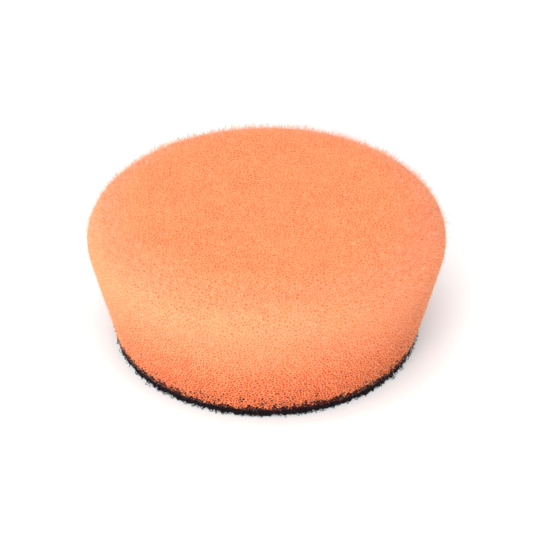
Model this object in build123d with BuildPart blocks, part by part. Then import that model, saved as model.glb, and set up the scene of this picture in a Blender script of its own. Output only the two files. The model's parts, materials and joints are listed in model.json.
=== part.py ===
from build123d import *
import os
from math import asin, atan2, degrees, hypot, radians, tan

# A tapered foam polishing pad that stands on its hook-and-loop backing.
# The origin is the centre of the backing's underside, +Z runs up the pad's axis,
# and the working face looks up. All sizes are in millimetres.

# Driving dimensions
pad_height = 32.0            # loop tips to working face
widest_diameter = 76.0       # across the rounded rim, a nominal 3 inch pad
foam_base_diameter = 65.0    # where the tapered flank meets the backing
backing_diameter = 64.0      # die-cut disc that a 2 1/2 inch backing plate grips
rim_width = 12.5             # how far in from the widest point the rim starts to round over
rim_drop = 7.8               # how far the widest point lies below the working face
pile_height = 1.2            # standing loops
ground_thickness = 0.5       # knitted fabric that carries the loops
film_thickness = 0.3         # hot-melt adhesive between fabric and foam

# Levels of the layers, from the loop tips up
ground_bottom = pile_height
film_bottom = ground_bottom + ground_thickness
foam_bottom = film_bottom + film_thickness

# Seen in half section, the rim is a little more than a quarter of an ellipse,
# and the flank runs into it without a corner
backing_radius = backing_diameter / 2
foam_base_radius = foam_base_diameter / 2
rim_centre_radius = widest_diameter / 2 - rim_width
rim_centre_height = pad_height - rim_drop


def rim_overrun():
    """How far the rim runs past its widest point before it meets the flank, in degrees along the ellipse.

    Squeezed by rim_drop / rim_width, the ellipse is a circle that a line from the base edge touches.
    """
    inset = (foam_base_radius - rim_centre_radius) * rim_drop / rim_width
    rise = rim_centre_height - foam_bottom
    return degrees(asin(rim_drop / hypot(inset, rise)) - atan2(inset, rise))


def flank_taper():
    """Angle of the flank from upright, in degrees."""
    return degrees(atan2(tan(radians(rim_overrun())) * rim_width, rim_drop))


def make_foam_body():
    """Open-cell polyurethane puck: flat working face, soft broad rim, flank drawn in towards the backing."""
    overrun = rim_overrun()
    with BuildPart() as foam_body:
        with BuildSketch(Plane.XZ):
            with BuildLine():
                base = Line((0, foam_bottom), (foam_base_radius, foam_bottom))
                rim = EllipticalCenterArc((rim_centre_radius, rim_centre_height), rim_width, rim_drop,
                                          start_angle=-overrun, arc_size=90 + overrun)
                Line(base @ 1, rim @ 0)
                working_face = Line(rim @ 1, (0, pad_height))
                Line(working_face @ 1, base @ 0)
            make_face()
        revolve(axis=Axis.Z)
    foam_body.part.label = "foam_body"
    return foam_body


def make_layer(label, bottom, thickness):
    """One flat round layer of the backing, with its underside at the given height."""
    with BuildPart() as layer:
        with BuildSketch(Plane.XY.offset(bottom)):
            Circle(backing_radius)
        extrude(amount=thickness)
    layer.part.label = label
    return layer


os.makedirs("parts", exist_ok=True)

foam_body = make_foam_body()
bond_film = make_layer("bond_film", film_bottom, film_thickness)
loop_ground = make_layer("loop_ground", ground_bottom, ground_thickness)
loop_pile = make_layer("loop_pile", 0, pile_height)

for layer in (foam_body, bond_film, loop_ground, loop_pile):
    export_step(layer.part, f"parts/{layer.part.label}.step")

print("flank taper", round(flank_taper(), 2), "degrees")
print("foam volume", round(foam_body.part.volume), "cubic mm")
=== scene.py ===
import json
import math
import bpy
import numpy as np
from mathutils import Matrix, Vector, noise
from mathutils.geometry import delaunay_2d_cdt

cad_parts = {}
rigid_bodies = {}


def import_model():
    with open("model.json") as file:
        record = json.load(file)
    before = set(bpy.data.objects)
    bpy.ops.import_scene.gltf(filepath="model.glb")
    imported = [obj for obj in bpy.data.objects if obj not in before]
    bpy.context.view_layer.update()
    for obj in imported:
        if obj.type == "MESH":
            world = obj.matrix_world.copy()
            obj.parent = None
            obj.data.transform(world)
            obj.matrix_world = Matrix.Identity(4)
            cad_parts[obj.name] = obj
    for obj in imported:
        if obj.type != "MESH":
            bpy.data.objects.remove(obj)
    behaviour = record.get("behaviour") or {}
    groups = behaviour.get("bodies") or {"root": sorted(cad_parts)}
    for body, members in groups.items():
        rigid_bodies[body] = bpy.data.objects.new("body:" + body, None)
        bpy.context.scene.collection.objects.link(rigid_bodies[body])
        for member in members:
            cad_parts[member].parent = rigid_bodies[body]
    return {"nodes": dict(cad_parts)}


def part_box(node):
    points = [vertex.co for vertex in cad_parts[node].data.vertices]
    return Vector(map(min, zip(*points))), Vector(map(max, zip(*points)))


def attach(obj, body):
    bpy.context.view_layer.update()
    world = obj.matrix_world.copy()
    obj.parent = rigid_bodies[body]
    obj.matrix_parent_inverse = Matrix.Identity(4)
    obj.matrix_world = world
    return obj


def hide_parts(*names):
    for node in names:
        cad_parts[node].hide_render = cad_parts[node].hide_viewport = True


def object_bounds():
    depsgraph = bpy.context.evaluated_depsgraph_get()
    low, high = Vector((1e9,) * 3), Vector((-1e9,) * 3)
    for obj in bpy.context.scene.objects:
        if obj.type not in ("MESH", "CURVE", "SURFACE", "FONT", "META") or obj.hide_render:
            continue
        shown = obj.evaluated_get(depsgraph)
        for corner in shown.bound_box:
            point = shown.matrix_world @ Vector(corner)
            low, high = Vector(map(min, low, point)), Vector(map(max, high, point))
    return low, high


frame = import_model()
cadLow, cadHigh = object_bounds()
print("frame loaded:", ", ".join(sorted(frame["nodes"])))

goldenAngle = math.pi * (3 - math.sqrt(5))
hexShare = math.sqrt(3) / 2          # area of one cell in an even packing, per squared spacing

# helpers for meshes


def makePiece(name, points, faces, material, smooth=False):
    mesh = bpy.data.meshes.new(name)
    mesh.from_pydata(np.asarray(points).tolist(), [], np.asarray(faces).tolist())
    mesh.polygons.foreach_set("use_smooth", [smooth] * len(mesh.polygons))
    mesh.materials.append(material)
    piece = bpy.data.objects.new(name, mesh)
    bpy.context.collection.objects.link(piece)
    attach(piece, "root")
    return piece


def paint(piece, name, values):
    # one number for each vertex, which a material reads by this name
    layer = piece.data.attributes.new(name, "FLOAT", "POINT")
    layer.data.foreach_set("value", np.asarray(values, dtype=np.float32))


def unit(vectors):
    return vectors / np.maximum(np.linalg.norm(vectors, axis=-1, keepdims=True), 1e-12)


def triangulate(flatPoints):
    # Delaunay triangles of points in a plane, counter-clockwise
    found = delaunay_2d_cdt([Vector(p) for p in flatPoints], [], [], 0, 1e-9)
    return np.array(found[2])


def sweepTubes(paths, radii, side, sides=3):
    # paths is n by k by 3, radii n by k, side one vector per path that its run never follows
    count, steps = paths.shape[:2]
    run = unit(np.gradient(paths, axis=1))
    across = unit(np.cross(run, side[:, None, :]))
    upward = np.cross(run, across)
    angle = np.arange(sides) * 2 * math.pi / sides
    ring = (across[:, :, None, :] * np.cos(angle)[None, None, :, None]
            + upward[:, :, None, :] * np.sin(angle)[None, None, :, None])
    points = (paths[:, :, None, :] + ring * radii[:, :, None, None]).reshape(-1, 3)
    start = np.arange(count)[:, None, None] * steps * sides
    level = np.arange(steps - 1)[None, :, None] * sides
    here = np.arange(sides)[None, None, :]
    after = (here + 1) % sides
    first = start + level + here
    second = start + level + after
    walls = np.stack([first, second, second + sides, first, second + sides, first + sides], axis=-1)
    faces = walls.reshape(-1, 3)
    near = np.arange(count) * steps * sides
    far = near + (steps - 1) * sides
    caps = [np.stack([near, near + k + 1, near + k], axis=-1) for k in range(1, sides - 1)]
    caps += [np.stack([far, far + k, far + k + 1], axis=-1) for k in range(1, sides - 1)]
    return points, np.concatenate([faces] + caps)


# helpers for materials


def newMaterial(name):
    material = bpy.data.materials.new(name)
    material.use_nodes = True
    return material, material.node_tree, material.node_tree.nodes["Principled BSDF"]


def setShader(shader, values):
    for key, value in values.items():
        shader.inputs[key].default_value = value


def addNode(tree, kind, values=None, **settings):
    node = tree.nodes.new(kind)
    for key, value in settings.items():
        setattr(node, key, value)
    for key, value in (values or {}).items():
        node.inputs[key].default_value = value
    return node


def noiseAt(tree, size, detail=2.0):
    # noise whose patches are about this many metres across, fixed to the piece
    place = addNode(tree, "ShaderNodeTexCoord")
    texture = addNode(tree, "ShaderNodeTexNoise", {"Scale": 1 / size, "Detail": detail})
    tree.links.new(place.outputs["Object"], texture.inputs["Vector"])
    return texture.outputs["Fac"]


def rangeOf(tree, source, fromLow, fromHigh, toLow, toHigh):
    node = addNode(tree, "ShaderNodeMapRange",
                   {"From Min": fromLow, "From Max": fromHigh, "To Min": toLow, "To Max": toHigh})
    tree.links.new(source, node.inputs["Value"])
    return node.outputs["Result"]


def mixColours(tree, factor, first, second, blend="MIX"):
    # first and second are colours or sockets
    node = addNode(tree, "ShaderNodeMix", data_type="RGBA", blend_type=blend)
    # among a Mix node's sockets, 6 and 7 take its two colours and output 2 gives the mixed one
    for socket, value in ((node.inputs[6], first), (node.inputs[7], second)):
        if isinstance(value, tuple):
            socket.default_value = (*value, 1)
        else:
            tree.links.new(value, socket)
    tree.links.new(factor, node.inputs[0])
    return node.outputs[2]


def attributeOf(tree, name):
    return addNode(tree, "ShaderNodeAttribute", attribute_name=name).outputs["Fac"]


def bumpFrom(tree, shader, height, strength, distance):
    node = addNode(tree, "ShaderNodeBump", {"Strength": strength, "Distance": distance})
    tree.links.new(height, node.inputs["Height"])
    tree.links.new(node.outputs["Normal"], shader.inputs["Normal"])


def roughnessFrom(tree, shader, size, between, noiseFrom=(0.3, 0.7)):
    # roughness that wanders between two values, in patches of about this size
    rough = rangeOf(tree, noiseAt(tree, size), *noiseFrom, *between)
    tree.links.new(rough, shader.inputs["Roughness"])


# camera, lights and floor

padMiddle = (cadLow + cadHigh) / 2

viewLook = {
    "azimuth": 0.0,          # degrees round the pad, 0 looks along +Y
    "elevation": 33.9,       # degrees above the floor
    "distance": 0.62,        # metres from the pad's middle
    "lens": 196.0,           # millimetres, on a sensor this wide
    "sensor": 36.0,
    "clip": (0.01, 20.0),    # metres
}

lightLook = {
    "horizon": 1.0,          # white light from low all round, fading towards
    "zenith": 0.30,          # this straight above
    "fade": (0.05, 0.7),     # sines of the heights over which it fades
    "key": {"azimuth": -24, "elevation": 20, "distance": 0.9, "size": 0.45, "watts": 5.2},
    "top": {"azimuth": -20, "elevation": 78, "distance": 0.9, "size": 0.6, "watts": 5.5},
    "side": {"azimuth": -85, "elevation": 15, "distance": 0.9, "size": 0.45, "watts": 1.2},
}

floorLook = {
    "half": 4.0,             # metres from its middle to a side
    "colour": (0.66, 0.66, 0.66),
    "roughness": 0.9,
    "specular": 0.1,
    "glow": 0.38,            # keeps the white table's shadows faint
    "farGlow": 0.75,         # the same where the lamps hardly reach
    "farFrom": (0.4, 1.4),   # metres from the pad over which it changes
}


def aimed(place, target):
    return (Vector(target) - Vector(place)).to_track_quat("-Z", "Y").to_euler()


def around(azimuth, elevation, distance, target):
    turn = math.radians(azimuth)
    lift = math.radians(elevation)
    back = Vector((math.sin(turn) * math.cos(lift), -math.cos(turn) * math.cos(lift), math.sin(lift)))
    return Vector(target) + back * distance


def setCamera():
    data = bpy.data.cameras.new("camera")
    data.lens = viewLook["lens"]
    data.sensor_width = viewLook["sensor"]
    data.clip_start, data.clip_end = viewLook["clip"]
    camera = bpy.data.objects.new("camera", data)
    camera.location = around(viewLook["azimuth"], viewLook["elevation"], viewLook["distance"], padMiddle)
    camera.rotation_euler = aimed(camera.location, padMiddle)
    bpy.context.collection.objects.link(camera)
    bpy.context.scene.camera = camera


def setLights():
    for name in ("key", "top", "side"):
        look = lightLook[name]
        data = bpy.data.lights.new(name, "AREA")
        data.shape = "DISK"
        data.size = look["size"]
        data.energy = look["watts"]
        lamp = bpy.data.objects.new(name, data)
        lamp.location = around(look["azimuth"], look["elevation"], look["distance"], padMiddle)
        lamp.rotation_euler = aimed(lamp.location, padMiddle)
        bpy.context.collection.objects.link(lamp)
    world = bpy.data.worlds.new("sky")
    world.use_nodes = True
    tree = world.node_tree
    background = tree.nodes["Background"]
    background.inputs["Color"].default_value = (1, 1, 1, 1)
    direction = addNode(tree, "ShaderNodeTexCoord")
    parts = addNode(tree, "ShaderNodeSeparateXYZ")
    tree.links.new(direction.outputs["Generated"], parts.inputs["Vector"])
    strength = rangeOf(tree, parts.outputs["Z"], *lightLook["fade"], lightLook["horizon"],
                       lightLook["zenith"])
    tree.links.new(strength, background.inputs["Strength"])
    bpy.context.scene.world = world
    bpy.context.scene.view_settings.view_transform = "Standard"


def setFloor():
    half = floorLook["half"]
    mesh = bpy.data.meshes.new("floor")
    corners = [(-half, -half, 0), (half, -half, 0), (half, half, 0), (-half, half, 0)]
    mesh.from_pydata(corners, [], [(0, 1, 2, 3)])
    floor = bpy.data.objects.new("floor", mesh)
    material, tree, shader = newMaterial("floor")
    setShader(shader, {"Base Color": (*floorLook["colour"], 1), "Roughness": floorLook["roughness"],
                       "Specular IOR Level": floorLook["specular"], "Emission Color": (1, 1, 1, 1)})
    place = addNode(tree, "ShaderNodeTexCoord")
    away = addNode(tree, "ShaderNodeVectorMath", operation="LENGTH")
    tree.links.new(place.outputs["Object"], away.inputs[0])
    glow = rangeOf(tree, away.outputs["Value"], *floorLook["farFrom"], floorLook["glow"],
                   floorLook["farGlow"])
    tree.links.new(glow, shader.inputs["Emission Strength"])
    mesh.materials.append(material)
    bpy.context.collection.objects.link(floor)


setCamera()
setLights()
setFloor()
print("camera, lights and floor set")

# foam body: an open-cell skin, cut cell by cell

foamLook = {
    "baseRadius": 0.0325,         # edge of the foam on its backing
    "rimWidth": 0.0125,           # how far in from the widest point the face starts to round over
    "rimDrop": 0.0078,            # how far the widest point lies below the face
    "cellSize": 0.00062,          # mean distance from cell to cell
    "cellJitter": 0.32,           # share of a cell that its centre strays
    "faceDepth": 0.00012,         # depth of the opened cells on the working face
    "flankDepth": 0.00008,        # from where the flank starts down to footHeight
    "footDepth": 0.00024,         # at the backing
    "depthSpread": (0.5, 1.5),    # shares of those, from cell to cell
    "footHeight": 0.014,          # up the flank from the backing, where the cells start to deepen
    "facePitShade": 0.95,             # painted shade inside the cells, on the working face
    "rimPitShade": 0.65,              # where the flank starts
    "flankPitShade": 1.05,            # at footHeight
    "footPitShade": 2.8,              # at the backing
    "pitShadeSpread": (0.5, 1.3),     # shares of those, from cell to cell
    "strutRise": 0.00004,         # how unevenly the walls between cells stand
    "ragged": 0.00016,            # unevenness of the edge on the backing
    "wave": 0.00018,              # slow unevenness of the cut surface
    "waveSize": 0.014,
    "gluedAtFoot": 1.35,          # share of cells that glue has darkened, at the backing
    "gluedHeight": 0.0011,        # how fast that share falls, going up
    "strayGlue": 0.07,            # share of darkened cells that reach further up
    "strayHeight": 0.0020,
    "glueStrength": (0.7, 1.0),   # from one darkened cell to another
    "glueRun": (0.4, 1.6),        # how unevenly glue runs over the walls
    "membraneShare": 0.005,       # cells that kept a pale skin
    "membraneStrength": (0.3, 1.0),
    "openAndLitFrom": 0.6,              # share of the rim's round past which the flank's paler colour is full, partly its cut-open cells and partly a painted highlight
    "footShadeFrom": 0.7,              # share of it past which painted shade darkens the foam towards the backing
    "footShadeAtRim": 0.40,            # how far that painted shade has come where the flank starts
    "footShadeAtFoot": 0.95,           # and at the backing
    "cellShade": 0.82,            # how much of that the cells take
    "wallShade": 0.28,            # the same for the walls between them
    "seed": 11,
    "colour": (0.87, 0.235, 0.080),
    # deeper orange, for random mottled patches and for the painted shade inside the cells
    "mottleAndPitShadeColour": (0.80, 0.108, 0.026),
    "strutColour": (0.95, 0.330, 0.150),
    "openStrutAndLitColour": (0.96, 0.350, 0.170),    # on the flank, paler partly for its cut-open cells and partly as a painted highlight
    "footShadeTint": (0.50, 0.32, 0.22),             # painted shade that dims the foam towards the backing
    "footPitShadeColour": (0.36, 0.026, 0.003),     # painted shade inside the cells near the backing
    "glueColour": (0.040, 0.002, 0.002),
    "membraneColour": (0.98, 0.55, 0.40),
    "openAndLitShare": 0.22,            # how far the whole flank goes towards its paler strut colour, partly a painted highlight
    "wallPit": (0.10, 0.45),      # cell-shade values over which a wall's colour gives way to the foam's
    "pitShadeRange": (0.35, 0.90),      # cell-shade values over which the painted shade inside the cells comes in
    "deepShare": 0.8,             # how much of that painted shade a fully shaded cell takes
    "footPitShadeRange": (0.30, 0.65),     # how far the painted foot shade has come where the cells' painted shade turns to its darker colour
    "soakedFrom": (0.08, 0.40),   # glue over which the foam's colour gives way
    "mottleSize": 0.006,          # patches of slightly deeper colour
    "mottleFrom": (0.35, 0.65),   # noise over which they come in
    "mottleShare": 0.5,
    "grainSize": 0.0004,
    "roughness": (0.75, 0.95),
    "bumpSize": 0.00018,
    "bumpStrength": 0.6,
    "bumpDepth": 0.00005,
    "specular": 0.1,
    "scatter": 0.4,               # share of the light that passes into the foam
    "scatterTint": (1.0, 0.32, 0.14),
    "scatterReach": 0.0008,
    "sheen": 0.04,
    "sheenRoughness": 0.5,
    "sheenTint": (1.0, 0.75, 0.6),
}


def foamProfile():
    # the foam's half section as a fine table, from the middle of the face to the base edge
    low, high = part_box("foam_body")
    width = foamLook["rimWidth"]
    drop = foamLook["rimDrop"]
    faceRadius = high.x - width
    rimHeight = high.z - drop
    # squeezed by drop / width the rim is a circle, which a line from the base edge touches
    inset = (foamLook["baseRadius"] - faceRadius) * drop / width
    rise = rimHeight - low.z
    overrun = math.asin(drop / math.hypot(inset, rise)) - math.atan2(inset, rise)
    taper = math.atan2(math.tan(overrun) * width, drop)
    steps = 1200
    across = np.linspace(0, faceRadius, steps)
    bend = np.linspace(math.pi / 2, -overrun, steps)[1:]
    flankTop = (faceRadius + width * math.cos(overrun), rimHeight - drop * math.sin(overrun))
    down = np.linspace(0, 1, steps)[1:]
    radius = np.concatenate([
        across,
        faceRadius + width * np.cos(bend),
        flankTop[0] + (foamLook["baseRadius"] - flankTop[0]) * down])
    height = np.concatenate([
        np.full(steps, high.z),
        rimHeight + drop * np.sin(bend),
        flankTop[1] + (low.z - flankTop[1]) * down])
    outward = np.concatenate([np.zeros(steps), np.cos(bend) / width,
                              np.full(steps - 1, math.cos(taper))])
    upward = np.concatenate([np.ones(steps), np.sin(bend) / drop,
                             np.full(steps - 1, -math.sin(taper))])
    length = np.hypot(outward, upward)
    outward = outward / length
    upward = upward / length
    pace = np.hypot(np.diff(radius), np.diff(height))
    arc = np.concatenate([[0], np.cumsum(pace)])
    halfway = (radius[1:] + radius[:-1]) / 2
    area = np.concatenate([[0], np.cumsum(2 * math.pi * halfway * pace)])
    # flat is each ring's radius on a map of the skin that keeps small shapes true
    growth = np.concatenate([[0], np.cumsum((pace / halfway)[steps - 1:])])
    flat = np.concatenate([across, faceRadius * np.exp(growth[1:])])
    return {"radius": radius, "height": height, "outward": outward, "upward": upward,
            "arc": arc, "area": area, "flat": flat, "faceArc": faceRadius,
            "rimArc": arc[2 * steps - 2]}


def roundShare(profile, share):
    # a place on the rim's round: 0 where the face ends, 1 where the flank starts
    return profile["faceArc"] + share * (profile["rimArc"] - profile["faceArc"])


def alongSkin(profile, arc, names):
    # between four values: on the face, where the flank starts, at footHeight and at the backing
    end = profile["arc"][-1]
    stops = [profile["faceArc"], profile["rimArc"], end - foamLook["footHeight"], end]
    return np.interp(arc, stops, [foamLook[name] for name in names])


def onSkin(profile, arc, turn):
    # points on the foam's skin and the directions that stand out of it
    radius, height, outward, upward = (
        np.interp(arc, profile["arc"], profile[key]) for key in ("radius", "height", "outward", "upward"))
    points = np.stack([radius * np.cos(turn), radius * np.sin(turn), height], axis=-1)
    normals = np.stack([outward * np.cos(turn), outward * np.sin(turn), upward], axis=-1)
    return points, unit(normals)


def scatterCells(profile, rng):
    # cell centres: a sunflower spiral knocked out of line, then a ring along the base edge
    size = foamLook["cellSize"]
    end = profile["arc"][-1]
    count = int(profile["area"][-1] / (hexShare * size * size))
    share = (np.arange(count) + 0.5) / count
    arc = np.interp(share * profile["area"][-1], profile["area"], profile["arc"])
    radius = np.interp(arc, profile["arc"], profile["radius"])
    stray = rng.normal(0, foamLook["cellJitter"] * size, (2, count))
    arc = np.clip(np.abs(arc + stray[0]), 0, end - 0.5 * size)
    turn = np.arange(count) * goldenAngle + stray[1] / np.maximum(radius, size)
    ringCount = int(2 * math.pi * foamLook["baseRadius"] / size)
    ringTurn = np.arange(ringCount) * 2 * math.pi / ringCount
    return np.concatenate([arc, np.full(ringCount, end)]), np.concatenate([turn, ringTurn])


def slowWave(points):
    size = foamLook["waveSize"]
    return np.array([noise.noise(Vector(p) / size) for p in points.tolist()]) * foamLook["wave"]


def foamMaterial():
    material, tree, shader = newMaterial("orange_open_cell_foam")
    pitShade = attributeOf(tree, "pitShade")
    openedAndLit = attributeOf(tree, "open")
    footShadeMask = attributeOf(tree, "foot")
    mottle = rangeOf(tree, noiseAt(tree, foamLook["mottleSize"], 3.0), *foamLook["mottleFrom"],
                     0.0, foamLook["mottleShare"])
    closed = mixColours(tree, mottle, foamLook["colour"], foamLook["mottleAndPitShadeColour"])
    # paler towards the flank: partly its cut-open cells, partly a painted highlight
    body = mixColours(tree, rangeOf(tree, openedAndLit, 0.0, 1.0, 0.0, foamLook["openAndLitShare"]), closed,
                      foamLook["openStrutAndLitColour"])
    wallShare = rangeOf(tree, pitShade, *foamLook["wallPit"], 1.0, 0.0)
    strutTone = mixColours(tree, openedAndLit, foamLook["strutColour"], foamLook["openStrutAndLitColour"])
    walls = mixColours(tree, wallShare, body, strutTone)
    # painted shade: the cells are darkened inside, darker still near the backing
    depth = rangeOf(tree, pitShade, *foamLook["pitShadeRange"], 0.0, foamLook["deepShare"])
    footDepth = rangeOf(tree, footShadeMask, *foamLook["footPitShadeRange"], 0.0, 1.0)
    inside = mixColours(tree, footDepth, foamLook["mottleAndPitShadeColour"], foamLook["footPitShadeColour"])
    cells = mixColours(tree, depth, walls, inside)
    skins = mixColours(tree, attributeOf(tree, "membrane"), cells, foamLook["membraneColour"])
    # painted shade: the foam's colour is multiplied darker towards the backing
    paintedFootShade = mixColours(tree, footShadeMask, skins, foamLook["footShadeTint"], blend="MULTIPLY")
    soaked = rangeOf(tree, attributeOf(tree, "glue"), *foamLook["soakedFrom"], 0.0, 1.0)
    glued = mixColours(tree, soaked, paintedFootShade, foamLook["glueColour"])
    tree.links.new(glued, shader.inputs["Base Color"])
    roughnessFrom(tree, shader, foamLook["grainSize"], foamLook["roughness"])
    bumpFrom(tree, shader, noiseAt(tree, foamLook["bumpSize"], 3.0), foamLook["bumpStrength"],
             foamLook["bumpDepth"])
    setShader(shader, {
        "Specular IOR Level": foamLook["specular"],
        "Subsurface Weight": foamLook["scatter"],
        "Subsurface Radius": foamLook["scatterTint"],
        "Subsurface Scale": foamLook["scatterReach"],
        "Sheen Weight": foamLook["sheen"],
        "Sheen Roughness": foamLook["sheenRoughness"],
        "Sheen Tint": (*foamLook["sheenTint"], 1)})
    return material


def cellWalls(triangles, cells):
    # each edge between two cells carries a wall, from one triangle's middle to the next one's
    starts = triangles.reshape(-1)
    ends = np.roll(triangles, -1, axis=1).reshape(-1)
    owner = np.repeat(np.arange(len(triangles)), 3)
    forward = starts < ends
    key = np.minimum(starts, ends).astype(np.int64) * cells + np.maximum(starts, ends)
    order = np.lexsort((~forward, key))
    paired = np.flatnonzero(key[order][1:] == key[order][:-1])
    left, right = order[paired], order[paired + 1]
    single = np.ones(len(key), bool)
    single[left] = False
    single[right] = False
    edgeOnly = np.flatnonzero(single)
    near, far = starts[left], ends[left]
    leftMiddle, rightMiddle = owner[left] + cells, owner[right] + cells
    bottom = cells + len(triangles)
    faces = np.concatenate([
        np.stack([near, rightMiddle, leftMiddle], axis=-1),
        np.stack([far, leftMiddle, rightMiddle], axis=-1),
        np.stack([starts[edgeOnly], ends[edgeOnly], owner[edgeOnly] + cells], axis=-1),
        np.stack([ends[edgeOnly], starts[edgeOnly], np.full(len(edgeOnly), bottom)], axis=-1)])
    return faces, np.stack([owner[left], owner[right]], axis=-1)


def cutCells(profile, allArc, isCell, points, normals, rng):
    # sinks the cells, sets the walls a little uneven, and frays the edge on the backing
    depth = alongSkin(profile, allArc, ("faceDepth", "flankDepth", "flankDepth", "footDepth"))
    onEdge = allArc >= profile["arc"][-1] - 1e-9
    sink = np.where(isCell, depth * rng.uniform(*foamLook["depthSpread"], len(allArc)), 0)
    rise = np.where(isCell, 0, rng.normal(0, foamLook["strutRise"], len(allArc)))
    shift = np.where(onEdge, 0, rise - sink + slowWave(points))
    points = points + normals * shift[:, None]
    points[:, 2] += onEdge * rng.uniform(-1, 1, len(points)) * foamLook["ragged"]
    return points


def paintFoam(foam, profile, points, allArc, isCell, triangles, rng):
    # the numbers that the foam's material reads, on the cells, the walls and the bottom's middle
    cells = np.count_nonzero(isCell)
    backing = profile["height"][-1]
    cellHeight = points[:cells, 2] - backing
    chance = (foamLook["gluedAtFoot"] * np.exp(-cellHeight / foamLook["gluedHeight"])
              + foamLook["strayGlue"] * np.exp(-cellHeight / foamLook["strayHeight"]))
    glued = rng.random(cells) < chance
    # low down, where all three cells round a wall's middle are glued, so is the wall
    wallHeight = points[cells:-1, 2] - backing
    run = rng.uniform(*foamLook["glueRun"], len(triangles))
    reach = np.exp(-wallHeight / foamLook["gluedHeight"])
    soakedWalls = glued[triangles].all(axis=1) * np.clip(reach * run, 0, 1)
    skin = rng.random(cells) < foamLook["membraneShare"]
    rest = np.zeros(len(points) - cells)
    # painted shade inside the cells, darkest near the backing
    cellPitShade = alongSkin(profile, allArc[:cells], ("facePitShade", "rimPitShade", "flankPitShade", "footPitShade"))
    cellPitShade = cellPitShade * rng.uniform(*foamLook["pitShadeSpread"], cells)
    paint(foam, "pitShade", np.concatenate([cellPitShade, rest]))
    soakedCells = glued * rng.uniform(*foamLook["glueStrength"], cells)
    paint(foam, "glue", np.concatenate([soakedCells, soakedWalls, [0]]))
    membranes = (skin & ~glued) * rng.uniform(*foamLook["membraneStrength"], cells)
    paint(foam, "membrane", np.concatenate([membranes, rest]))
    # paler on the flank: partly its cut-open cells, partly a painted highlight
    openArcs = [profile["faceArc"], roundShare(profile, foamLook["openAndLitFrom"])]
    paint(foam, "open", np.append(np.interp(allArc, openArcs, [0, 1]), 1))
    # painted shade: the foam darkens from the rim down to the backing, the cells more than the walls
    footShadeArcs = [roundShare(profile, foamLook["footShadeFrom"]), profile["rimArc"], profile["arc"][-1]]
    fade = np.interp(allArc, footShadeArcs, [0, foamLook["footShadeAtRim"], foamLook["footShadeAtFoot"]])
    shade = np.where(isCell, foamLook["cellShade"], foamLook["wallShade"])
    paint(foam, "foot", np.append(fade * shade, foamLook["cellShade"]))


def makeFoam():
    profile = foamProfile()
    rng = np.random.default_rng(foamLook["seed"])
    arc, turn = scatterCells(profile, rng)
    cells = len(arc)
    flat = np.interp(arc, profile["arc"], profile["flat"])
    # the map is drawn in cell widths, so that the triangulation's tolerance stays far below a cell
    map2d = np.stack([flat * np.cos(turn), flat * np.sin(turn)], axis=-1)
    triangles = triangulate(map2d / foamLook["cellSize"])
    middles = map2d[triangles].mean(axis=1)
    wallArc = np.interp(np.hypot(*middles.T), profile["flat"], profile["arc"])
    wallTurn = np.arctan2(middles[:, 1], middles[:, 0])
    faces, pairs = cellWalls(triangles, cells)
    allArc = np.concatenate([arc, wallArc])
    isCell = np.arange(len(allArc)) < cells
    points, normals = onSkin(profile, allArc, np.concatenate([turn, wallTurn]))
    points = cutCells(profile, allArc, isCell, points, normals, rng)
    points = np.concatenate([points, [[0, 0, profile["height"][-1]]]])
    foam = makePiece("foam_puck", points, faces, foamMaterial())
    paintFoam(foam, profile, points, allArc, isCell, triangles, rng)
    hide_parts("foam_body")
    struts = {"points": points[cells:-1], "normals": normals[cells:], "arc": wallArc, "pairs": pairs}
    print("foam body:", cells, "cells,", len(faces), "triangles")
    return profile, struts


profile, struts = makeFoam()

# strut ends: the cut ends of the foam's cell walls, which make its outline soft

strutLook = {
    "faceShare": 0.45,            # of the places where three cells meet, on the working face
    "flankShare": 0.75,
    "faceLength": 0.00010,        # mean, over a least length
    "length": 0.00018,            # the same on the flank
    "leastLength": 0.00010,
    "mostLength": 0.00085,
    "thickness": 0.000034,
    "thicknessSpread": (0.7, 1.3),
    "lean": 0.9,                  # how far they tilt sideways at most, as a share of their rise
    "sunk": 0.00006,              # how deep they stand in the skin
    "seed": 23,
    "colour": (0.96, 0.32, 0.15),
    "paleColour": (1.0, 0.58, 0.40),
    "patchSize": 0.0009,          # patches of pale ones
    "patchFrom": (0.38, 0.62),    # noise over which they come in
    "roughness": 0.55,
    "scatter": 0.3,
    "scatterTint": (1.0, 0.4, 0.2),
    "scatterReach": 0.0004,
}


def strutMaterial(name, look):
    material, tree, shader = newMaterial(name)
    pale = rangeOf(tree, noiseAt(tree, strutLook["patchSize"], 1.0), *strutLook["patchFrom"], 0.0, 1.0)
    tree.links.new(mixColours(tree, pale, look["colour"], look["paleColour"]), shader.inputs["Base Color"])
    setShader(shader, {
        "Roughness": strutLook["roughness"],
        "Subsurface Weight": strutLook["scatter"],
        "Subsurface Radius": strutLook["scatterTint"],
        "Subsurface Scale": strutLook["scatterReach"]})
    return material


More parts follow.
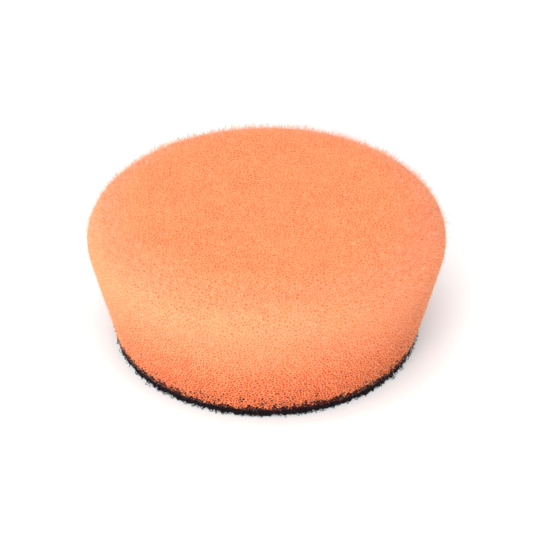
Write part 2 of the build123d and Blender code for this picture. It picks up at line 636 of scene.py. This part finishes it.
def makeStrutEnds():
    rng = np.random.default_rng(strutLook["seed"])
    share = np.interp(struts["arc"], [profile["faceArc"], profile["rimArc"]],
                      [strutLook["faceShare"], strutLook["flankShare"]])
    chosen = np.flatnonzero(rng.random(len(struts["points"])) < share)
    count = len(chosen)
    foot = struts["points"][chosen] - struts["normals"][chosen] * strutLook["sunk"]
    normal = struts["normals"][chosen]
    side = unit(np.cross(normal, rng.normal(0, 1, (count, 3))))
    over = np.cross(normal, side)
    lean = unit(normal + side * (rng.random((count, 1)) * strutLook["lean"]))
    mean = np.interp(struts["arc"][chosen], [profile["faceArc"], profile["rimArc"]],
                     [strutLook["faceLength"], strutLook["length"]])
    length = strutLook["leastLength"] + rng.exponential(1, (count, 1)) * mean[:, None]
    length = np.minimum(length, strutLook["mostLength"])
    size = strutLook["thickness"] * rng.uniform(*strutLook["thicknessSpread"], (count, 1))
    third = 2 * math.pi / 3
    corners = [foot + (side * math.cos(k * third) + over * math.sin(k * third)) * size for k in range(3)]
    tip = foot + lean * (length + strutLook["sunk"])
    points = np.stack(corners + [tip], axis=1).reshape(-1, 3)
    first = np.arange(count)[:, None] * 4
    faces = np.concatenate([first + np.array(f) for f in ((0, 1, 3), (1, 2, 3), (2, 0, 3), (2, 1, 0))])
    makePiece("foam_strut_ends", points, faces, strutMaterial("foam_strut_ends", strutLook))
    print("strut ends:", count)


makeStrutEnds()

# cell arches: torn cell windows that stand off the rim and the flank

archLook = {
    "flankCount": 3200,
    "flankRise": (0.00014, 0.00036),
    "faceWeight": 0.02,           # how likely one is on the face, against the flank
    "rimCount": 11000,            # more and taller ones where the face rounds over
    "rimRise": (0.00025, 0.00125),
    "rimMiddle": 0.55,            # where they stand densest, as a share of the rim's round
    "rimSpread": 0.0036,          # how far they spread along it
    "thickness": 0.000015,
    "thicknessSpread": (0.7, 1.3),
    "lean": 0.75,                 # how far they tilt at most, as a share of their rise
    "seed": 29,
    "colour": (0.95, 0.34, 0.16),
    "paleColour": (1.0, 0.56, 0.36),
}


def makeArches():
    rng = np.random.default_rng(archLook["seed"])
    pairs = struts["pairs"]
    arc = struts["arc"][pairs[:, 0]]
    onFlank = np.interp(arc, [profile["faceArc"], profile["rimArc"]], [archLook["faceWeight"], 1.0])
    onRim = np.exp(-((arc - roundShare(profile, archLook["rimMiddle"])) / archLook["rimSpread"]) ** 2)
    chosen = np.concatenate([
        rng.choice(len(pairs), archLook["flankCount"], replace=False, p=onFlank / onFlank.sum()),
        rng.choice(len(pairs), archLook["rimCount"], replace=False, p=onRim / onRim.sum())])
    rise = np.concatenate([rng.uniform(*archLook["flankRise"], archLook["flankCount"]),
                           rng.uniform(*archLook["rimRise"], archLook["rimCount"])])
    first = struts["points"][pairs[chosen, 0]]
    last = struts["points"][pairs[chosen, 1]]
    normal = struts["normals"][pairs[chosen, 0]]
    steps = 3
    pace = np.linspace(0, 1, steps)
    arch = np.sin(math.pi * pace)
    lean = rng.uniform(-1, 1, (len(chosen), 1, 3)) * archLook["lean"] * rise[:, None, None]
    paths = (first[:, None] * (1 - pace)[None, :, None] + last[:, None] * pace[None, :, None]
             + (normal[:, None] * rise[:, None, None] + lean) * arch[None, :, None])
    spread = rng.uniform(*archLook["thicknessSpread"], (len(chosen), 1))
    radii = archLook["thickness"] * spread * np.ones((1, steps))
    side = unit(np.cross(last - first, normal))
    points, faces = sweepTubes(paths, radii, side)
    makePiece("foam_cell_arches", points, faces, strutMaterial("foam_torn_windows", archLook))
    print("cell arches:", len(chosen), "with", len(faces), "triangles")


makeArches()

# what the black yarns of the backing share

yarnLook = {
    "liftAndHighlightFrom": (0.45, 0.75),    # noise over which the lighter yarn comes in, partly uneven yarn and partly painted highlight
    "roughSize": 0.5,            # as a share of the yarn's grain
    "roughness": (0.45, 0.8),
    "bumpSize": 0.25,            # as a share of the yarn's grain
    "bumpStrength": 0.5,
    "bumpDepth": 0.00003,
    "specular": 0.12,
    "sheenRoughness": 0.4,
    "sheenTint": (0.55, 0.5, 0.7),
}


def yarnMaterial(name, look):
    material, tree, shader = newMaterial(name)
    grainSize = look["grainSize"]
    # lighter patches of yarn: partly uneven yarn, partly painted highlights
    lift = rangeOf(tree, noiseAt(tree, grainSize), *yarnLook["liftAndHighlightFrom"], 0.0, 1.0)
    yarn = mixColours(tree, lift, look["colour"], look["liftAndHighlightColour"])
    tree.links.new(yarn, shader.inputs["Base Color"])
    roughnessFrom(tree, shader, grainSize * yarnLook["roughSize"], yarnLook["roughness"])
    bumpFrom(tree, shader, noiseAt(tree, grainSize * yarnLook["bumpSize"]), yarnLook["bumpStrength"],
             yarnLook["bumpDepth"])
    setShader(shader, {
        "Specular IOR Level": yarnLook["specular"],
        "Sheen Weight": look["sheen"],
        "Sheen Roughness": yarnLook["sheenRoughness"],
        "Sheen Tint": (*yarnLook["sheenTint"], 1)})
    return material


def discPoints(radius, spacing, rng, jitter=0.15, inset=0.6):
    # an even scatter over a disc, and a ring of points round its edge, last
    # jitter and inset, the scatter's distance from the ring, are shares of the spacing
    count = int(math.pi * radius * radius / (hexShare * spacing * spacing))
    out = np.sqrt((np.arange(count) + 0.5) / count) * (radius - inset * spacing)
    turn = np.arange(count) * goldenAngle
    inner = np.stack([out * np.cos(turn), out * np.sin(turn)], axis=-1)
    inner += rng.normal(0, jitter * spacing, inner.shape)
    ringCount = int(2 * math.pi * radius / spacing)
    ringTurn = np.arange(ringCount) * 2 * math.pi / ringCount
    ring = np.stack([np.cos(ringTurn), np.sin(ringTurn)], axis=-1) * radius
    return np.concatenate([inner, ring]), ringCount


def discShell(flat, ringCount, triangles, under, over):
    # a closed disc from one plane scatter, with a height for each point below and above
    count = len(flat)
    ring = np.arange(count - ringCount, count)
    after = np.roll(ring, -1)
    walls = np.concatenate([
        np.stack([ring, after, after + count], axis=-1),
        np.stack([ring, after + count, ring + count], axis=-1)])
    points = np.concatenate([np.column_stack([flat, under]), np.column_stack([flat, over])])
    return points, np.concatenate([triangles[:, ::-1], triangles + count, walls])


def raggedDisc(radius, spacing, ragged, rng):
    flat, ringCount = discPoints(radius, spacing, rng)
    triangles = triangulate(flat / spacing)
    flat[-ringCount:] *= (1 + rng.uniform(-1, 1, ringCount) * ragged / radius)[:, None]
    return flat, ringCount, triangles


# loop ground: black knitted disc with ribs, cut round

groundLook = {
    "rib": 0.0009,               # from one column of stitches to the next
    "stitch": 0.0007,            # along a column
    "slant": 0.5,                # how far the rows of stitches run out of square
    "relief": 0.00008,
    "stitchShare": 0.4,          # of the relief, the rest being the ribs'
    "spacing": 0.00042,          # of the mesh
    "ragged": 0.00012,           # unevenness of the cut edge
    "overhang": 0.0003,          # how far the cut edge has frayed outwards
    "seed": 31,
    "colour": (0.004, 0.001, 0.002),
    "liftAndHighlightColour": (0.014, 0.008, 0.012),
    "grainSize": 0.0006,
    "sheen": 0.03,
}


def makeGround():
    low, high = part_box("loop_ground")
    rng = np.random.default_rng(groundLook["seed"])
    radius = high.x + groundLook["overhang"]
    flat, ringCount, triangles = raggedDisc(radius, groundLook["spacing"], groundLook["ragged"], rng)
    column = np.abs(np.sin(math.pi * flat[:, 0] / groundLook["rib"]))
    slanted = flat[:, 1] + flat[:, 0] * groundLook["slant"]
    row = np.abs(np.sin(math.pi * slanted / groundLook["stitch"]))
    groove = column * (1 - groundLook["stitchShare"] + groundLook["stitchShare"] * row)
    relief = groundLook["relief"] * (1 - groove)
    points, faces = discShell(flat, ringCount, triangles, low.z + relief, np.full(len(flat), high.z))
    material = yarnMaterial("black_ground_knit", groundLook)
    ground = makePiece("backing_knit", points, faces, material)
    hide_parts("loop_ground")
    print("loop ground:", len(faces), "triangles")


makeGround()

# loop pile: thousands of small standing loops

pileLook = {
    "loops": 4400,
    "edgeLoops": 900,            # more of them, close round the cut edge
    "yarn": 0.00006,             # radius
    "yarnSpread": (0.75, 1.1),
    "matSpacing": 0.00036,       # mesh of the matted roots that the loops stand in
    "matTips": 0.00045,          # mean height of the mat above the loop tips
    "matRelief": 0.00035,
    "matRagged": 0.00022,
    "matOverhang": 0.0002,       # how far the mat reaches past the cut edge
    "overhang": 0.0001,          # the same for the loops' feet
    "edgeDepth": 0.0002,         # mean distance of the edge loops from the cut edge
    "edgeBand": 0.0012,          # how far in from the edge loops lean outwards
    "stray": 0.00018,            # how far feet stray from an even scatter
    "span": (0.00035, 0.0009),   # between a loop's two feet
    "height": (0.75, 0.98),      # share of the pile's height
    "lean": 0.00035,
    "belly": 0.55,               # how much wider than its feet a loop is
    "shoulder": 0.75,            # below 1 its tip is broader than a plain arch
    "edgeLean": 0.00018,         # extra outward lean of the loops at the cut edge
    "seed": 41,
    "colour": (0.004, 0.001, 0.002),
    "liftAndHighlightColour": (0.024, 0.016, 0.024),
    "grainSize": 0.0004,
    "sheen": 0.03,
}


def makePile():
    low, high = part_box("loop_pile")
    rng = np.random.default_rng(pileLook["seed"])
    inner = pileLook["loops"]
    count = inner + pileLook["edgeLoops"]
    edge = high.x + pileLook["overhang"]
    out = np.concatenate([np.sqrt((np.arange(inner) + 0.5) / inner) * edge,
                          edge - rng.exponential(pileLook["edgeDepth"], pileLook["edgeLoops"])])
    turn = np.concatenate([np.arange(inner) * goldenAngle,
                           rng.uniform(0, 2 * math.pi, pileLook["edgeLoops"])])
    foot = np.stack([out * np.cos(turn), out * np.sin(turn)], axis=-1)
    foot += rng.normal(0, pileLook["stray"], foot.shape)
    foot *= np.minimum(1, edge / np.linalg.norm(foot, axis=1))[:, None]
    heading = rng.uniform(0, 2 * math.pi, count)
    along = np.stack([np.cos(heading), np.sin(heading), np.zeros(count)], axis=-1)
    steps = 7
    pace = np.linspace(0, 1, steps)
    lift = np.sin(math.pi * pace) ** pileLook["shoulder"]
    sweep = -np.cos(math.pi * pace) * (1 + pileLook["belly"] * np.sin(math.pi * pace))
    span = rng.uniform(*pileLook["span"], count)
    tall = (high.z - low.z) * rng.uniform(*pileLook["height"], count)
    lean = np.column_stack([rng.normal(0, pileLook["lean"], (count, 2)), np.zeros(count)])
    outward = np.column_stack([np.cos(turn), np.sin(turn), np.zeros(count)])
    atEdge = np.clip((out - edge) / pileLook["edgeBand"] + 1, 0, 1)
    lean += outward * (atEdge * pileLook["edgeLean"])[:, None]
    centre = np.column_stack([foot, np.full(count, high.z + pileLook["yarn"])])
    paths = (centre[:, None, :]
             + along[:, None, :] * (sweep[None, :] * span[:, None] / 2)[:, :, None]
             + lean[:, None, :] * lift[None, :, None])
    paths[:, :, 2] -= lift[None, :] * tall[:, None]
    paths[:, :, 2] = np.maximum(paths[:, :, 2], low.z + pileLook["yarn"])
    spread = rng.uniform(*pileLook["yarnSpread"], (count, 1))
    radii = np.full((count, steps), pileLook["yarn"]) * spread
    side = np.cross(along, [0, 0, 1.0])
    points, faces = sweepTubes(paths, radii, side)
    # the mat: the tangled roots of the loops, too dense to see through
    matRadius = high.x + pileLook["matOverhang"]
    flat, ringCount, triangles = raggedDisc(matRadius, pileLook["matSpacing"], pileLook["matRagged"], rng)
    tangle = low.z + pileLook["matTips"] + rng.uniform(-1, 1, len(flat)) * pileLook["matRelief"]
    matPoints, matFaces = discShell(flat, ringCount, triangles, tangle, np.full(len(flat), high.z))
    faces = np.concatenate([faces, matFaces + len(points)])
    points = np.concatenate([points, matPoints])
    points[:, 2] = np.maximum(points[:, 2], low.z)
    material = yarnMaterial("black_loop_yarn", pileLook)
    pile = makePiece("backing_loops", points, faces, material)
    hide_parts("loop_pile")
    print("loop pile:", count, "loops,", len(faces), "triangles")


makePile()

# stray fibres: cut yarn ends round the backing's edge

fibreLook = {
    "count": 2800,
    "lowest": 0.0003,           # roots, above the loop tips
    "highest": 0.0002,          # above the ground fabric
    "rootDepth": 0.0003,        # in from the cut edge
    "radius": 0.000022,
    "radiusSpread": (0.7, 1.2),
    "taper": 0.5,               # how much thinner the tips are
    "length": (0.0002, 0.0008),
    "outward": (0.4, 1.0),      # how strongly they head away from the pad
    "sideways": 0.7,            # how widely they spread to either side
    "upward": 0.55,             # and up and down
    "curl": 0.5,
    "seed": 53,
    "colour": (0.006, 0.001, 0.002),
    "liftAndHighlightColour": (0.020, 0.008, 0.012),
    "grainSize": 0.0006,
    "sheen": 0.02,
}


def makeFibres():
    low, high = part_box("loop_pile")
    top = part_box("loop_ground")[1].z
    rng = np.random.default_rng(fibreLook["seed"])
    count = fibreLook["count"]
    turn = rng.uniform(0, 2 * math.pi, count)
    outward = np.column_stack([np.cos(turn), np.sin(turn), np.zeros(count)])
    sideways = np.column_stack([-np.sin(turn), np.cos(turn), np.zeros(count)])
    height = rng.uniform(low.z + fibreLook["lowest"], top + fibreLook["highest"], count)
    root = (outward * (high.x - fibreLook["rootDepth"])
            + np.column_stack([np.zeros((count, 2)), height]))
    heading = unit(outward * rng.uniform(*fibreLook["outward"], (count, 1))
                   + sideways * rng.normal(0, fibreLook["sideways"], (count, 1))
                   + np.array([0, 0, 1.0]) * rng.normal(0, fibreLook["upward"], (count, 1)))
    curl = unit(rng.normal(0, 1, (count, 3))) * fibreLook["curl"]
    shortest, longest = fibreLook["length"]
    length = shortest + rng.uniform(0, 1, (count, 1)) ** 2 * (longest - shortest)
    steps = 6
    pace = np.linspace(0, 1, steps)
    paths = root[:, None, :] + (heading[:, None, :] * pace[None, :, None]
                                + curl[:, None, :] * pace[None, :, None] ** 2) * length[:, None, :]
    paths[:, :, 2] = np.maximum(paths[:, :, 2], low.z + fibreLook["radius"])
    thinning = (1 - fibreLook["taper"] * pace)[None, :]
    radii = fibreLook["radius"] * thinning * rng.uniform(*fibreLook["radiusSpread"], (count, 1))
    side = unit(np.cross(heading, rng.normal(0, 1, (count, 3))))
    points, faces = sweepTubes(paths, radii, side)
    points[:, 2] = np.maximum(points[:, 2], low.z)
    material = yarnMaterial("black_stray_fibre", fibreLook)
    makePiece("backing_fibres", points, faces, material, smooth=True)
    print("stray fibres:", count)


makeFibres()

# bond film: hot melt, a thin disc with an uneven edge and beads in the foam's lowest cells

filmLook = {
    "spacing": 0.0008,          # of the mesh
    "swell": 0.00035,           # how far the edge wanders out of round
    "beads": 900,
    "beadSize": (0.00010, 0.00026),
    "beadSpread": (0.7, 1.4),   # how uneven a bead is
    "squash": 0.6,              # how flat it lies on the skin
    "climb": 0.0009,            # how fast the beads thin out going up the foam
    "seed": 61,
    "colour": (0.028, 0.003, 0.008),
    "redColour": (0.13, 0.005, 0.009),
    "patchSize": 0.0015,        # patches of redder melt
    "patchFrom": (0.45, 0.7),   # noise over which they come in
    "grainSize": 0.0005,
    "roughness": (0.3, 0.6),
    "bumpSize": 0.0003,
    "bumpStrength": 0.4,
    "bumpDepth": 0.00004,
    "specular": 0.2,
}


def filmMaterial():
    material, tree, shader = newMaterial("dark_hot_melt")
    tint = rangeOf(tree, noiseAt(tree, filmLook["patchSize"]), *filmLook["patchFrom"], 0.0, 1.0)
    melt = mixColours(tree, tint, filmLook["colour"], filmLook["redColour"])
    tree.links.new(melt, shader.inputs["Base Color"])
    roughnessFrom(tree, shader, filmLook["grainSize"], filmLook["roughness"])
    bumpFrom(tree, shader, noiseAt(tree, filmLook["bumpSize"]), filmLook["bumpStrength"],
             filmLook["bumpDepth"])
    setShader(shader, {"Specular IOR Level": filmLook["specular"]})
    return material


def makeFilm():
    low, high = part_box("bond_film")
    rng = np.random.default_rng(filmLook["seed"])
    flat, ringCount, triangles = raggedDisc(high.x, filmLook["spacing"], filmLook["swell"], rng)
    level = np.ones(len(flat))
    disc, discFaces = discShell(flat, ringCount, triangles, low.z * level, high.z * level)
    # beads: small squashed lumps pressed into the skin just above the film
    corner = 2 * math.pi / 5
    ring = [(math.cos(k * corner), math.sin(k * corner), 0.1) for k in range(5)]
    corners = np.array([(0, 0, 1)] + ring + [(0, 0, -1)])
    sides = np.array([(0, k, k % 5 + 1) for k in range(1, 6)] + [(6, k % 5 + 1, k) for k in range(1, 6)])
    beads = filmLook["beads"]
    arc = profile["arc"][-1] - rng.exponential(filmLook["climb"], beads)
    place, normal = onSkin(profile, arc, rng.uniform(0, 2 * math.pi, beads))
    size = rng.uniform(*filmLook["beadSize"], (beads, 1, 1))
    local = corners[None] * rng.uniform(*filmLook["beadSpread"], (beads, 1, 3)) * size
    side = unit(np.cross(normal, rng.normal(0, 1, (beads, 3))))
    over = np.cross(normal, side)
    lumps = (place[:, None] + side[:, None] * local[..., :1] + over[:, None] * local[..., 1:2]
             + normal[:, None] * local[..., 2:] * filmLook["squash"])
    start = len(disc) + np.arange(beads)[:, None, None] * len(corners)
    points = np.concatenate([disc, lumps.reshape(-1, 3)])
    faces = np.concatenate([discFaces, (start + sides[None]).reshape(-1, 3)])
    film = makePiece("hot_melt_film", points, faces, filmMaterial())
    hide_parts("bond_film")
    print("bond film:", beads, "beads")


makeFilm()
